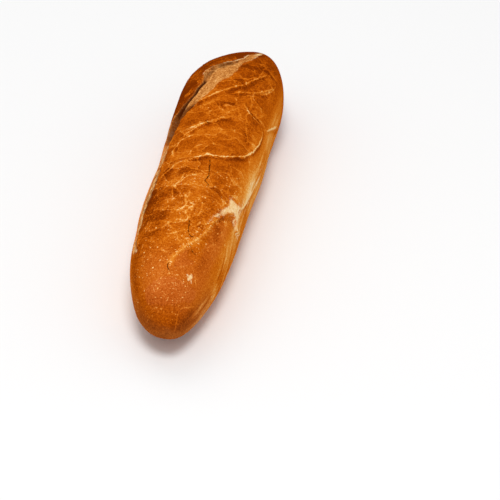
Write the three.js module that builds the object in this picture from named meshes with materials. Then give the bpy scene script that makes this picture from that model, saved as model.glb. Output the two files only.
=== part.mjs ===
// A short baguette: one loaf lying on its flat sole, with its length along X.
// Millimetres, +Z up. The origin is on the sole, below the middle of the loaf.
// +X is the narrower end, -X the thicker end, and -Y the flank along which the long slash opened.
import * as THREE from "three";

// Driving dimensions
const LENGTH = 256;
const HALF_LENGTH = LENGTH / 2;
const WIDEST_LEVEL = 21.5; // height of the widest line above the sole
const SOLE_SINK = 1.6; // how far the round underside is pressed flat
// Half widths and crown heights at equal steps from the thick end to the narrow end.
// A crown height is measured from the widest line.
const SLASHED_SIDE = [35.2, 32.2, 28.5, 27.7, 27.5, 26.9, 24.9];
const PLAIN_SIDE = [30.0, 30.6, 29.0, 28.0, 27.9, 26.0, 22.2];
const CROWN = [27.9, 30.6, 27.7, 26.9, 27.2, 26.9, 26.0];
// The ends: a larger bluntness keeps the full section further out, a larger roundness rounds the tip.
const THICK_END = { bluntness: 5.2, roundness: 2, tipAside: 10 };
const NARROW_END = { bluntness: 3.8, roundness: 2, tipAside: 6.8 };
const UNDERSIDE = { bluntness: 4.7, roundness: 2 };
// The section is a superellipse: round above the widest line, fuller below it.
const CROWN_FULLNESS = 2.15;
const SOLE_FULLNESS = 2.5;

// Places on the crust are given as [x in mm, angle from the crown in degrees, plus towards +Y].
const MM_PER_DEGREE = 0.48; // length of one degree of the section along the crust
const RADIANS = Math.PI / 180;

// The long slash, from the thick tip over the crown and down along the -Y flank, with open crumb
// between its two edges: [x, angle of the flap's edge, angle of the crust's edge,
// rise of the flap's edge, level of the crumb beside the flap, in the middle, beside the crust].
const SLASH = [
  [-114, 19, 24, 0.2, -0.2, -0.2, -0.2],
  [-103, 10, 20, 0.3, -0.5, -0.4, -0.4],
  [-93, 3, 13, 0.4, -0.9, -0.7, -0.4],
  [-88, -5, 9, 0.6, -1.2, -0.8, -0.4],
  [-84, -18, 7, 0.8, -1.2, -0.9, -0.5],
  [-80, -26, 6, 0.9, -1.2, -0.8, -0.5],
  [-73, -27, 3, 0.8, -1.4, -0.7, -0.5],
  [-68, -24.5, -3, 0.6, -1.8, -0.6, -0.5],
  [-63, -29, -8, 0.5, -2.1, -0.5, -0.5],
  [-54, -36.5, -16, 0.5, -2.1, -0.5, -0.6],
  [-48, -49, -25, 0.8, -2.3, -1.3, -0.7],
  [-41, -61, -35, 1.2, -2.6, -2.2, -1.2],
  [-33, -62.5, -43, 1.3, -2.6, -2.3, -1.8],
  [-24, -68, -47, 1.2, -1.6, -1.1, -1.6],
  [-15, -73, -51, 1.1, -0.9, 0.0, -1.2],
  [0, -76, -50, 1.0, -0.7, 0.3, -1.1],
  [23, -77, -50, 1.0, -0.7, 0.3, -1.1],
  [45, -76, -54, 0.9, -0.6, 0.3, -0.9],
  [65, -73, -58, 0.7, -0.5, 0.1, -0.7],
  [84, -64, -57, 0.4, -0.3, -0.2, -0.5],
];
const SLASH_START = -112;
const SLASH_END = 86;
const SLASH_FADE = 18; // length over which the slash closes at either end
const FOOT_WIDTH = 1.4; // how far the levels beside the flap and the crust reach into the crumb
const CREVICE_WALL = 0.8; // width of the steep wall between flap and crumb
const FLAP_REACH = 7; // distance over which the lift of the flap dies out
const CRUST_EDGE = { rise: 0.45, reach: 3.5, from: -50, full: -20 }; // lifts along the flank only

// Lips: curved steps where one sheet of crust overlaps the next. Each stands up on its -X side, by
// height, over a distance of reach, and drops on its +X side into a shallow trough.
const LIPS = [
  {
    name: "shoulder",
    height: 1.2,
    reach: 12,
    line: [
      [-53, 22], [-46, 38], [-44, 53], [-38, 62], [-29, 61], [-19, 56], [-9, 48], [-3, 36],
      [2, 20], [3, 8], [8, -5], [11, -20], [17, -35], [25, -49],
    ],
  },
  {
    name: "tongue",
    height: 1.3,
    reach: 12,
    line: [
      [36, 92], [42, 83], [44, 75], [41, 66], [41, 58], [45, 50], [52, 44], [60, 37],
      [68, 34], [75, 28], [82, 20], [88, 11], [94, 4], [100, -2], [108, -12],
    ],
  },
  {
    name: "plain flank",
    height: 0.5,
    reach: 9,
    line: [[-2, 83], [12, 79], [21, 75], [28, 69], [34, 59]],
  },
  {
    name: "thick end",
    height: 0.5,
    reach: 9,
    line: [[-73, 94], [-64, 86], [-55, 76], [-45, 65]],
  },
  {
    name: "crown upper",
    height: 0.7,
    reach: 9,
    line: [[-44, -32], [-47, -25], [-52, -12], [-60, 5], [-66, 17], [-76, 29], [-91, 44]],
  },
  {
    name: "crown side",
    height: 0.6,
    reach: 8,
    line: [[-55, 5], [-61, 23], [-65, 34], [-74, 48], [-84, 59]],
  },
  {
    name: "crown middle",
    height: 0.6,
    reach: 9,
    line: [[-11, -39], [-20, -19], [-25, -10], [-31, 4], [-35, 15], [-40, 27]],
  },
  {
    name: "crown lower",
    height: 0.6,
    reach: 8,
    line: [[50, -13], [38, -17], [32, -15], [27, -9], [23, 0], [20, 10]],
  },
  {
    name: "left scale",
    height: 0.6,
    reach: 7,
    line: [[5, -32], [-3, -36], [-10, -32], [-18, -28]],
  },
];
const LIP_FADE = 9; // length over which a lip dies out at either end
const LIP_DROP = 2.4; // width of the drop
const TROUGH_SHARE = 0.45; // depth of the trough, as a share of the lip's height
const TROUGH_REACH = 6;
const LINE_STEPS = 6; // straight pieces between two given places of a lip

// Soft swellings and dents of the whole loaf: [x, angle, height, spread]
const SWELLINGS = [
  [-104, -24, -1.2, 14],
  [-114, 30, 1.6, 14],
  [-58, 88, -1.6, 13],
  [-50, -78, 0.9, 15],
  [-20, 85, 0.6, 22],
  [-8, -75, -0.9, 12],
  [20, 0, -0.5, 30],
  [60, -72, -1.1, 14],
  [70, -30, 0.6, 24],
  [118, -135, 0.6, 14],
  [-86, -104, 0.7, 13],
  [-28, -108, -0.6, 15],
  [22, -112, 0.7, 14],
  [66, -104, 0.5, 12],
  [94, -118, -0.6, 12],
  [-70, 122, -0.6, 14],
  [-22, 128, 0.6, 15],
  [34, 124, -0.5, 12],
  [80, 118, 0.6, 13],
];

const RELIEF_LIMIT = 0.97; // share of the half length where the relief has died out
const RELIEF_FADE = 0.09; // share of the half length over which it dies out
const SOLE_ANGLE = 125; // past this angle from the crown the skin lies on the sole and stays smooth
const SOLE_FADE = 25; // angle over which the relief dies out towards the sole

// The net of corners: rings across the loaf, and columns that follow the slash
const RINGS = 128;
const RING_CROWDING = 0.5; // 0 spaces the rings evenly, 1 crowds them fully towards the tips
const PLAIN_FLANK = 98; // angle at which the fine columns of the crown begin
const SLASHED_FLANK = -128; // angle at which the fine columns end
const LEAST_BAND = 6; // least angle between the columns at the slash's two edges
const COLUMNS = { sole: 6, crown: 25, crumb: 5, wall: 1, flap: 4, underFlap: 4 };

const NORMAL_STEP = 0.002; // share of the half length over which the crust's slope is read

const CRUST = new THREE.MeshStandardMaterial({ color: 0xb8651b, roughness: 0.62, metalness: 0 });

const clamp = (v, low, high) => Math.min(high, Math.max(low, v));

function smoothStep(from, to, v) {
  const s = clamp((v - from) / (to - from), 0, 1);
  return s * s * (3 - 2 * s);
}

// A smooth curve through rows of values at rising places: rows are [place, value, ...].
function through(rows, place, column) {
  const last = rows.length - 1;
  if (place <= rows[0][0]) return rows[0][column];
  if (place >= rows[last][0]) return rows[last][column];
  const k = rows.findIndex((row) => row[0] > place) - 1;
  const slope = (i) => {
    const before = rows[Math.max(i - 1, 0)];
    const after = rows[Math.min(i + 1, last)];
    return (after[column] - before[column]) / (after[0] - before[0]);
  };
  const gap = rows[k + 1][0] - rows[k][0];
  const s = (place - rows[k][0]) / gap;
  const rise = s * s * (3 - 2 * s);
  return (
    rows[k][column] * (1 - rise) +
    rows[k + 1][column] * rise +
    gap * (slope(k) * s * (1 - s) ** 2 - slope(k + 1) * s * s * (1 - s))
  );
}

// A value given at equal steps from the thick end to the narrow end
function alongLoaf(values, t) {
  const rows = values.map((value, i) => [(2 * i) / (values.length - 1) - 1, value]);
  return through(rows, t, 1);
}

function closing(t, end) {
  return (1 - Math.abs(t) ** end.bluntness) ** (1 / end.roundness);
}

const signedPower = (v, power) => Math.sign(v) * Math.abs(v) ** power;

// The bare loaf: t is -1 at the thick tip and 1 at the narrow tip, angle is in degrees from the crown.
function bareLoaf(t, angle) {
  const end = t > 0 ? NARROW_END : THICK_END;
  const full = closing(t, end);
  const aside = Math.sin(angle * RADIANS);
  const up = Math.cos(angle * RADIANS);
  const power = 2 / (up > 0 ? CROWN_FULLNESS : SOLE_FULLNESS);
  const halfWidth = alongLoaf(aside > 0 ? PLAIN_SIDE : SLASHED_SIDE, t);
  const rise =
    up > 0 ? alongLoaf(CROWN, t) * full : (WIDEST_LEVEL + SOLE_SINK) * closing(t, UNDERSIDE);
  return new THREE.Vector3(
    HALF_LENGTH * t,
    halfWidth * full * signedPower(aside, power) + end.tipAside * (1 - full),
    WIDEST_LEVEL + rise * signedPower(up, power),
  );
}

function outwardNormal(t, angle) {
  const before = bareLoaf(Math.max(t - NORMAL_STEP, -1), angle);
  const alongLength = bareLoaf(Math.min(t + NORMAL_STEP, 1), angle).sub(before);
  const aroundSection = bareLoaf(t, angle + 1).sub(bareLoaf(t, angle - 1));
  return alongLength.cross(aroundSection).normalize();
}

// How far the slash is open at x, from 0 to 1
function slashOpening(x) {
  return (
    smoothStep(SLASH_START, SLASH_START + SLASH_FADE, x) *
    (1 - smoothStep(SLASH_END - SLASH_FADE, SLASH_END, x))
  );
}

// Height of the crust beside and in the slash
function slashRelief(x, angle) {
  const [, flapEdge, crustEdge, rise, besideFlap, middle, besideCrust] = SLASH[0].map((_, column) =>
    through(SLASH, x, column),
  );
  const open = slashOpening(x);
  const beyond = (flapEdge - angle) * MM_PER_DEGREE; // distance outside the flap's edge
  const pastCrust = (angle - crustEdge) * MM_PER_DEGREE; // distance into the crust
  if (beyond >= 0) return open * rise * Math.exp(-beyond / FLAP_REACH);
  if (pastCrust >= 0) {
    const lift = CRUST_EDGE.rise * smoothStep(CRUST_EDGE.from, CRUST_EDGE.full, x);
    return open * lift * Math.exp(-pastCrust / CRUST_EDGE.reach);
  }
  const nearFlap = Math.exp(-(((-beyond - CREVICE_WALL) / FOOT_WIDTH) ** 2));
  const nearCrust = Math.exp(-((pastCrust / FOOT_WIDTH) ** 2));
  const crumb = middle + (besideFlap - middle) * nearFlap + (besideCrust - middle) * nearCrust;
  const wall = smoothStep(0, CREVICE_WALL, -beyond);
  return open * (rise + (crumb - rise) * wall);
}

// A lip's line as short straight pieces over the unrolled crust, both ways in mm
function lipPath(lip) {
  const corners = lip.line.map(([x, angle]) => new THREE.Vector3(x, angle * MM_PER_DEGREE, 0));
  return new THREE.CatmullRomCurve3(corners, false, "centripetal").getPoints(
    (corners.length - 1) * LINE_STEPS,
  );
}

// Distance from a place to a path, plus on its standing side, and the way to the path's nearer end
function besidePath(path, x, s) {
  let best = { distance: Infinity, side: 1, at: 0 };
  let travelled = 0;
  for (let i = 0; i + 1 < path.length; i += 1) {
    const dx = path[i + 1].x - path[i].x;
    const ds = path[i + 1].y - path[i].y;
    const span = Math.hypot(dx, ds);
    const share = clamp(((x - path[i].x) * dx + (s - path[i].y) * ds) / (span * span), 0, 1);
    const offX = x - path[i].x - share * dx;
    const offS = s - path[i].y - share * ds;
    const distance = Math.hypot(offX, offS);
    if (distance < best.distance) {
      best = { distance, side: Math.sign(dx * offS - ds * offX) || 1, at: travelled + share * span };
    }
    travelled += span;
  }
  return { away: best.distance * best.side, toEnd: Math.min(best.at, travelled - best.at) };
}

// 1 or -1: the side of the path on which the -X crust lies
function standingSide(path) {
  const first = path[0];
  const last = path[path.length - 1];
  return last.y < first.y ? -1 : 1;
}

const lips = LIPS.map((lip) => {
  const path = lipPath(lip);
  return { ...lip, path, standing: standingSide(path) };
});

function lipRelief(x, angle) {
  let sum = 0;
  for (const lip of lips) {
    const { away, toEnd } = besidePath(lip.path, x, angle * MM_PER_DEGREE);
    const up = away * lip.standing;
    const fade = smoothStep(0, LIP_FADE, toEnd);
    const standing = Math.exp(-Math.max(up, 0) / lip.reach);
    const trough = -TROUGH_SHARE * Math.exp(-Math.max(-up, 0) / TROUGH_REACH);
    const drop = smoothStep(-LIP_DROP, 0, up);
    sum += lip.height * fade * (trough + (standing - trough) * drop);
  }
  return sum;
}

function swellings(x, angle) {
  return SWELLINGS.reduce((sum, [atX, atAngle, height, spread]) => {
    const away = Math.hypot(x - atX, (angle - atAngle) * MM_PER_DEGREE) / spread;
    return sum + height * Math.exp(-away * away);
  }, 0);
}

function relief(t, angle) {
  const x = HALF_LENGTH * t;
  const nearTip = 1 - smoothStep(RELIEF_LIMIT - RELIEF_FADE, RELIEF_LIMIT, Math.abs(t));
  const aboveSole = 1 - smoothStep(SOLE_ANGLE - SOLE_FADE, SOLE_ANGLE, Math.abs(angle));
  return (slashRelief(x, angle) + lipRelief(x, angle) + swellings(x, angle)) * nearTip * aboveSole;
}

function crustPoint(t, angle) {
  const point = bareLoaf(t, angle).addScaledVector(outwardNormal(t, angle), relief(t, angle));
  point.z = Math.max(point.z, 0);
  return point;
}

// The angles of one ring's columns, from the sole's middle round the +Y side and back to it
function ringAngles(t) {
  const x = HALF_LENGTH * t;
  const flapEdge = through(SLASH, x, 1);
  const crustEdge = Math.max(through(SLASH, x, 2), flapEdge + LEAST_BAND);
  const wall = CREVICE_WALL / MM_PER_DEGREE;
  const stretches = [
    [180, PLAIN_FLANK, COLUMNS.sole],
    [PLAIN_FLANK, crustEdge, COLUMNS.crown],
    [crustEdge, flapEdge + wall, COLUMNS.crumb],
    [flapEdge + wall, flapEdge, COLUMNS.wall],
    [flapEdge, SLASHED_FLANK, COLUMNS.flap],
    [SLASHED_FLANK, -180, COLUMNS.underFlap],
  ];
  return stretches.flatMap(([from, to, count]) =>
    Array.from({ length: count }, (_, i) => from + ((to - from) * i) / count),
  );
}

// Moves the loaf sideways, so that its bounding box has the origin in the middle of its width
function middledAcross(geometry) {
  geometry.computeBoundingBox();
  const { min, max } = geometry.boundingBox;
  return geometry.translate(0, -(min.y + max.y) / 2, 0);
}

function loafGeometry() {
  const corners = [new THREE.Vector3(-HALF_LENGTH, THICK_END.tipAside, WIDEST_LEVEL)];
  for (let ring = 1; ring < RINGS; ring += 1) {
    const even = (2 * ring) / RINGS - 1;
    const crowded = Math.sin((even * Math.PI) / 2);
    const t = even + (crowded - even) * RING_CROWDING;
    ringAngles(t).forEach((angle) => corners.push(crustPoint(t, angle)));
  }
  corners.push(new THREE.Vector3(HALF_LENGTH, NARROW_END.tipAside, WIDEST_LEVEL));

  const around = Object.values(COLUMNS).reduce((sum, count) => sum + count, 0);
  const corner = (ring, column) => 1 + (ring - 1) * around + (column % around);
  const faces = [];
  for (let column = 0; column < around; column += 1) {
    faces.push(0, corner(1, column + 1), corner(1, column));
    faces.push(corners.length - 1, corner(RINGS - 1, column), corner(RINGS - 1, column + 1));
    for (let ring = 1; ring + 1 < RINGS; ring += 1) {
      const a = corner(ring, column);
      const b = corner(ring + 1, column);
      const c = corner(ring + 1, column + 1);
      const d = corner(ring, column + 1);
      faces.push(a, c, b, a, d, c);
    }
  }
  const geometry = new THREE.BufferGeometry().setFromPoints(corners);
  geometry.setIndex(faces);
  return middledAcross(geometry);
}

const loaf = new THREE.Mesh(loafGeometry(), CRUST);
loaf.name = "loaf";

const baguette = new THREE.Group();
baguette.add(loaf);

export default baguette;
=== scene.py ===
"""A short baguette on a pale floor: the loaf's skin in full detail, with the form of the part's solid.

Lengths are in millimetres until the mesh is made, and in metres in the crust's material. A place on
the crust is x along the loaf and an angle in degrees from the crown, plus towards +Y, so -180 and
180 both mean the middle of the sole.
"""
import math

import bpy
import numpy as np
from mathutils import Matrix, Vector


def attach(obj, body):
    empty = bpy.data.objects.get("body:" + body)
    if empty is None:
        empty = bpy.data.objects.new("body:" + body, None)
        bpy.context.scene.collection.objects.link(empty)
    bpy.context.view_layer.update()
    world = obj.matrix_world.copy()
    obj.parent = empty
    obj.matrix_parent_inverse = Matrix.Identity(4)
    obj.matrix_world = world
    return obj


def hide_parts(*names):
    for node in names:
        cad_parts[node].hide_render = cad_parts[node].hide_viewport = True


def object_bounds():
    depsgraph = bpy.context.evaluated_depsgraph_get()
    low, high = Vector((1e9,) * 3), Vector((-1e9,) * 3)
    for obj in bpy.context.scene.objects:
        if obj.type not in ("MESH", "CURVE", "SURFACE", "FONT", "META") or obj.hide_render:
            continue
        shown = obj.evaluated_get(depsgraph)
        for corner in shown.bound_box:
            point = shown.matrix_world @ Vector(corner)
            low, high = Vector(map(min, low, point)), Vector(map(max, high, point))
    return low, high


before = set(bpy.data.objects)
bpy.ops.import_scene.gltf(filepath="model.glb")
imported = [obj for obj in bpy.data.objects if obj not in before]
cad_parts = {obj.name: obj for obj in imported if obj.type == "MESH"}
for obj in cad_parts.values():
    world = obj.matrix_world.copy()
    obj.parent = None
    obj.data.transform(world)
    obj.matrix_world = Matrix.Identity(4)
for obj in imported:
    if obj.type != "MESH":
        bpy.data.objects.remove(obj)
cad_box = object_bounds()

# ---------------------------------------------------------------- sizes of the loaf
HALF_LENGTH = 128.0
WIDEST_LEVEL = 21.5
SOLE_SINK = 1.6  # how far the rounded underside would reach below the flat sole
# Half widths, and the crown's height above the widest level, in even steps to the narrow end
SLASHED_SIDE = (35.2, 32.2, 28.5, 27.7, 27.5, 26.9, 24.9)
PLAIN_SIDE = (30.0, 30.6, 29.0, 28.0, 27.9, 26.0, 22.2)
CROWN = (27.9, 30.6, 27.7, 26.9, 27.2, 26.9, 26.0)
# Bluntness of each end, and how far its tip lies towards +Y
THICK_END = (5.2, 10.0)
NARROW_END = (3.8, 6.8)
UNDERSIDE_BLUNTNESS = 4.7
# How full the cross-section is: 2 gives an ellipse
CROWN_FULLNESS = 2.15
SOLE_FULLNESS = 2.5
MM_PER_DEGREE = 0.48

SWELLINGS = (  # x, angle, height, spread
    (-104, -24, -1.2, 14),
    (-114, 30, 1.6, 14),
    (-58, 88, -1.6, 13),
    (-50, -78, 0.9, 15),
    (-20, 85, 0.6, 22),
    (-8, -75, -0.9, 12),
    (20, 0, -0.5, 30),
    (60, -72, -1.1, 14),
    (70, -30, 0.6, 24),
    (118, -135, 0.6, 14),
    (-86, -104, 0.7, 13),
    (-28, -108, -0.6, 15),
    (22, -112, 0.7, 14),
    (66, -104, 0.5, 12),
    (94, -118, -0.6, 12),
    (-70, 122, -0.6, 14),
    (-22, 128, 0.6, 15),
    (34, 124, -0.5, 12),
    (80, 118, 0.6, 13),
)

# The slash: x, angle of the flap's edge, angle of the crust's edge, rise of the flap's edge,
# and the level of the crumb at the flap, in the middle and at the crust
SLASH = (
    (-114, 19, 24, 0.2, -0.2, -0.2, -0.2),
    (-103, 10, 20, 0.3, -0.5, -0.4, -0.4),
    (-93, 3, 13, 0.4, -0.9, -0.7, -0.4),
    (-88, -5, 9, 0.6, -1.2, -0.8, -0.4),
    (-84, -18, 7, 0.8, -1.2, -0.9, -0.5),
    (-80, -26, 6, 0.9, -1.2, -0.8, -0.5),
    (-73, -27, 3, 0.8, -1.4, -0.7, -0.5),
    (-68, -24.5, -3, 0.6, -1.8, -0.6, -0.5),
    (-63, -29, -8, 0.5, -2.1, -0.5, -0.5),
    (-54, -36.5, -16, 0.5, -2.1, -0.5, -0.6),
    (-48, -49, -25, 0.8, -2.3, -1.3, -0.7),
    (-41, -61, -35, 1.2, -2.6, -2.2, -1.2),
    (-33, -62.5, -43, 1.3, -2.6, -2.3, -1.8),
    (-24, -68, -47, 1.2, -1.6, -1.1, -1.6),
    (-15, -73, -51, 1.1, -0.9, 0.0, -1.2),
    (0, -76, -50, 1.0, -0.7, 0.3, -1.1),
    (23, -77, -50, 1.0, -0.7, 0.3, -1.1),
    (45, -76, -54, 0.9, -0.6, 0.3, -0.9),
    (65, -73, -58, 0.7, -0.5, 0.1, -0.7),
    (84, -64, -57, 0.4, -0.3, -0.2, -0.5),
)
SLASH_START = -112
SLASH_END = 86
SLASH_FADE = 18
EDGE_FADE = 8
POCKET_START = -50
POCKET_END = -20
FOOT_WIDTH = 0.7
EDGE_REACH = 7
CREVICE_WALL = 0.45
CRUST_EDGE_RISE = 0.45
CRUST_EDGE_REACH = 3.5

# Where the crust is darker (+) or paler (-): amount, x, angle, length in mm, width in degrees
PATCHES = (
    (0.34, -32, -25, 15, 26),
    (0.22, -52, 16, 17, 32),
    (0.08, -28, 18, 12, 30),
    (0.22, -90, 38, 18, 20),
    (0.32, 20, -40, 13, 12),
    (0.26, 47, -38, 16, 14),
    (0.20, 38, -53, 20, 8),
    (0.10, 45, 10, 24, 26),
    (0.10, 88, 47, 9, 8),
    (-0.36, 6, 72, 26, 17),
    (-0.14, 50, 76, 16, 12),
    (-0.06, 105, 10, 24, 60),
    (0.10, 127, 60, 8, 40),
    (0.16, -84, -27, 8, 9),
    (-0.10, -84, -3, 8, 8),
    (0.16, -72, 21, 7, 10),
    (0.15, -68, 48, 12, 12),
    (0.15, -50, 40, 10, 12),
    (0.26, -36, -50, 7, 7),
    (0.28, -24, 43, 8, 8),
    (-0.13, 6, 20, 9, 12),
    (0.17, 24, 27, 6, 9),
    (0.18, 62, -33, 12, 12),
    (0.13, 44, 45, 8, 8),
    (0.18, 48, 22, 6, 8),
    (-0.15, 74, 12, 9, 12),
    (-0.15, 66, 69, 14, 10),
    (-0.12, 92, 66, 16, 16),
    (0.10, -40, 48, 8, 10),
    (0.08, 24, -10, 9, 9),
    (-0.16, 5, 52, 9, 9),
    (0.14, 42, 30, 9, 9),
    (0.20, -62, -36, 8, 7),
    (-0.12, 76, -6, 12, 12),
    (-0.10, 108, -16, 8, 14),
    (0.16, 100, -62, 12, 10),
    (0.16, 78, -54, 12, 9),
    (0.16, 84, 21, 6, 7),
    (0.12, 73, 34, 6, 7),
    (0.10, 110, 104, 9, 10),
    (0.16, 117, 84, 7, 12),
    (-0.12, 24, 57, 7, 10),
    (-0.14, 12, 8, 7, 8),
    (0.22, -108, 21, 6, 8),
    (0.26, 54, 46, 9, 8),
    (0.10, -30, -3, 16, 10),
    (0.10, 42, -51, 10, 6),
    (-0.18, -75, -31, 5, 6),
    (-0.14, -86, 78, 24, 12),
    (-0.14, -44, 84, 18, 14),
    (0.20, 65, -20, 8, 9),
    (0.10, 88, 8, 6, 8),
    (0.09, 92, 63, 12, 8),
)

# Lips, where one sheet of crust overlaps the next: height, reach, strength of the pale rim, and
# the line's places (x, angle)
LIPS = (
    (0.95, 12, 1.25, ((-53, 22), (-46, 38), (-44, 53), (-38, 62), (-29, 61), (-19, 56), (-9, 48),
                     (-3, 36), (2, 20), (3, 8), (8, -5), (11, -20))),
    (0.6, 10, 0.9, ((8, -5), (11, -20), (17, -35), (25, -49))),
    (1.0, 12, 0.35, ((36, 92), (42, 83), (44, 75), (41, 66), (41, 58), (45, 50), (52, 44), (60, 37),
                    (66, 35))),
    (0.4, 10, 0.3, ((56, 40), (68, 34), (75, 28), (82, 20), (88, 11), (94, 4), (100, -2))),
    (0.5, 9, 0.8, ((-2, 83), (12, 79), (21, 75), (28, 69), (34, 59))),
    (0.4, 7, 0.9, ((-73, 94), (-64, 86), (-55, 76), (-45, 65))),
    (0.6, 9, 0.9, ((-44, -32), (-47, -25), (-52, -12), (-60, 5), (-66, 17), (-76, 29), (-91, 44))),
    (0.5, 8, 0.8, ((-55, 5), (-61, 23), (-65, 34), (-74, 48), (-84, 59))),
    (0.55, 9, 0.9, ((-11, -39), (-20, -19), (-25, -10), (-31, 4), (-35, 15), (-40, 27))),
    (0.5, 8, 0.7, ((50, -13), (38, -17), (32, -15), (27, -9), (23, 0), (20, 10))),
    (0.5, 7, 0.8, ((5, -32), (-3, -36), (-10, -32), (-18, -28))),
    (0.35, 5, 0.7, ((-14, -10), (-14, -17), (-17, -27), (-20, -37))),
    (0.3, 5, 0.6, ((9, -17), (4, -13), (-1, -8), (-3, 0))),
    (0.35, 6, 0.5, ((-32, -36), (-31, -24), (-30, -12))),
    (0.3, 5, 0.7, ((57, 0), (52, 2), (47, -2), (42, 0), (35, -3))),
    (0.3, 4, 0.6, ((-81, 21), (-78, 38))),
    (0.3, 4, 0.6, ((-86, 34), (-80, 55))),
    (0.3, 5, 0.6, ((22, -45), (17, -38))),
    (0.3, 5, 0.6, ((48, -45), (44, -34))),
    (0.3, 5, 0.6, ((68, -44), (70, -29))),
)
# Fine pale lines on the crust: strength, line
VEINS = (
    (0.7, ((0, -12), (-4, -7), (-6, -2), (-8, 3))),
    (0.9, ((3, -34), (-5, -36), (-11, -32), (-14, -25), (-14, -13))),
    (0.5, ((-31, -26), (-31, -19), (-29, -11))),
    (0.8, ((-20, -34), (-23, -22), (-25, -11), (-28, -2), (-32, 7), (-36, 19))),
    (0.4, ((-49, -4), (-44, 2), (-39, 8), (-37, 14))),
    (0.6, ((-36, -8), (-41, -4), (-42, 0))),
    (0.4, ((-64, 12), (-69, 6), (-72, -1))),
    (0.4, ((-82, 29), (-86, 22), (-88, 15))),
    (0.4, ((-85, 40), (-90, 31), (-92, 25))),
    (0.9, ((-68, 35), (-67, 39), (-71, 47), (-78, 54), (-87, 59))),
    (0.6, ((-60, 24), (-62, 33), (-65, 38))),
    (0.5, ((-62, 28), (-56, 34), (-49, 35))),
    (0.5, ((9, 33), (14, 40), (19, 51))),
    (0.6, ((15, 17), (17, 25), (18, 34))),
    (0.7, ((22, -15), (24, -11), (33, -16), (39, -16))),
    (0.4, ((-13, 9), (-15, 22), (-23, 34))),
    (0.8, ((-43, 63), (-48, 63), (-48, 51), (-47, 37))),
    (0.7, ((20, 7), (17, 12), (15, 16))),
    (0.9, ((39, -5), (50, 1), (56, -2), (58, -9))),
    (0.6, ((49, 8), (63, 8), (66, 4), (64, -6))),
    (0.5, ((43, 9), (48, 18), (55, 19), (60, 16))),
    (0.6, ((59, 23), (64, 31), (64, 34))),
    (0.7, ((80, 1), (82, 7), (84, 12))),
    (0.6, ((78, -11), (76, -2), (73, 7))),
    (0.6, ((88, -16), (90, -8), (92, -3))),
    (0.5, ((127, 100), (125, 62), (122, 47), (119, 49), (116, 62), (110, 79))),
    (0.5, ((97, 40), (101, 48), (104, 58))),
)
# Hairline cracks
CRACKS = (
    ((5, 9), (9, 11), (13, 12), (16, 13), (21, 14), (24, 13), (26, 12), (28, 14), (30, 17), (33, 18)),
    ((64, 10), (66, 11), (73, 13), (76, 17), (76, 23)),
    ((82, 19), (86, 27), (87, 34)),
    ((97, -1), (101, -1), (103, 3)),
    ((-29, -8), (-27, -5), (-28, -2)),
)

# The edge of the smooth tongue of crust at the narrow end, and the line, drawn on from it at both
# ends, on whose slashed side the crust is mottled
TONGUE_EDGE = ((52, 44), (60, 37), (68, 34), (75, 28), (82, 20), (88, 11), (94, 4), (100, -2))
MOTTLE_LIMIT = ((46, 50), (60, 37), (75, 28), (88, 11), (100, -2), (110, -12))

# Brush strokes: strength, what the fine streaks add to it, softness and raggedness of the edge in
# mm, and dabs of x, angle and radius in mm
CREAM_STROKES = (
    # the patch where the tongue begins, its three arms, its streaky tail and a faint halo
    (1.05, 0, 2.6, 2.0, ((31, 51, 1.4), (34, 57, 4.2), (36, 64, 2.8), (40, 67, 1.4))),
    (0.95, 0, 1.8, 1.5, ((36, 56, 2.8), (43, 47, 1.6), (49, 41, 0.8), (55, 35, 0.4), (62, 31, -0.2))),
    (0.6375, 0.595, 1.6, 2.4, ((40, 62, 1.2), (43, 69, 1.0), (45, 76, 1.0), (44, 82, 1.5),
                               (42, 87, 0.9))),
    (0.525, 0.49, 1.6, 2.0, ((34, 60, 3.0), (28, 70, 2.4), (22, 76, 1.8), (12, 80, 1.2),
                             (2, 84, 0.3))),
    (0.50, 1.1, 3.0, 2.5, ((34, 66, 3.0), (22, 74, 3.6), (0, 80, 3.2), (-24, 84, 1.0))),
    (0.26, 0, 3.0, 2.0, ((30, 50, 3.0), (38, 58, 6.5), (44, 72, 3.5), (42, 84, 2.0))),
    # the fleck on the tongue, the thin line at the shoulder, and the two ends of the slash
    (0.9, 0, 0.8, 1.8, ((101, 29, 0.3), (103, 35, 1.2), (101, 38, 1.5), (104, 43, 0.4))),
    (0.40, 0, 0.9, 1.4, ((-47, 66, 0.1), (-56, 77, 0.6), (-66, 88, 0.6), (-72, 93, 0.2))),
    (0.6, 0, 1.0, 1.2, ((76, -64, 0.8), (79, -59, 1.8), (82, -55, 0.8))),
    (0.7, 0, 1.0, 1.8, ((-112, 24, 0.6), (-106, 18, 1.6), (-101, 15, 1.8), (-97, 13, 1.0))),
)
# Strokes of redder crust with painted sheen
RED_AND_SHEEN_STROKES = (
    (1.0, 0, 0.8, 1.8, ((116, -38, 4.5), (114, -8, 7.5), (113, 24, 7.5), (110, 56, 4.0))),
    (0.8, 0, 0.8, 1.4, ((84, 20, 0.8), (92, 14, 3.8), (96, 14, 4.5), (93, 30, 2.0))),
)
# Painted shade in the hollow at the thick end: in a cleft beside the crust, and along the flap
HOLLOW_CLEFT = (0.5, 0, 1.0, 1.2, ((-92, 17, 0.3), (-86, 12, 1.1), (-82, 9, 0.3)))
HOLLOW_SHADE = (0.62, 0, 1.4, 1.8, ((-90, 2, 0.8), (-86, -8, 2.2), (-82, -18, 2.4), (-77, -22, 2.2),
                                    (-73, -23, 0.8)))
# The thin shade beside the cream patch and its arms, on the tongue's side
BESIDE_PATCH = ((46, 74), (43.5, 64), (44, 58), (49, 49), (56, 42))

LIP_FADE = 9
LIP_DROP = 1.1
LIP_WANDER = 0.5
TROUGH_SHARE = 0.45
TROUGH_REACH = 6
LEE_PLACE = 1.3
LEE_WIDTH = 1.1
LINE_STEPS = 5
RIM_OFFSET = 0.35
LINE_SEEN = 3.0
GLOW_FADE = 3.0

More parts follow.
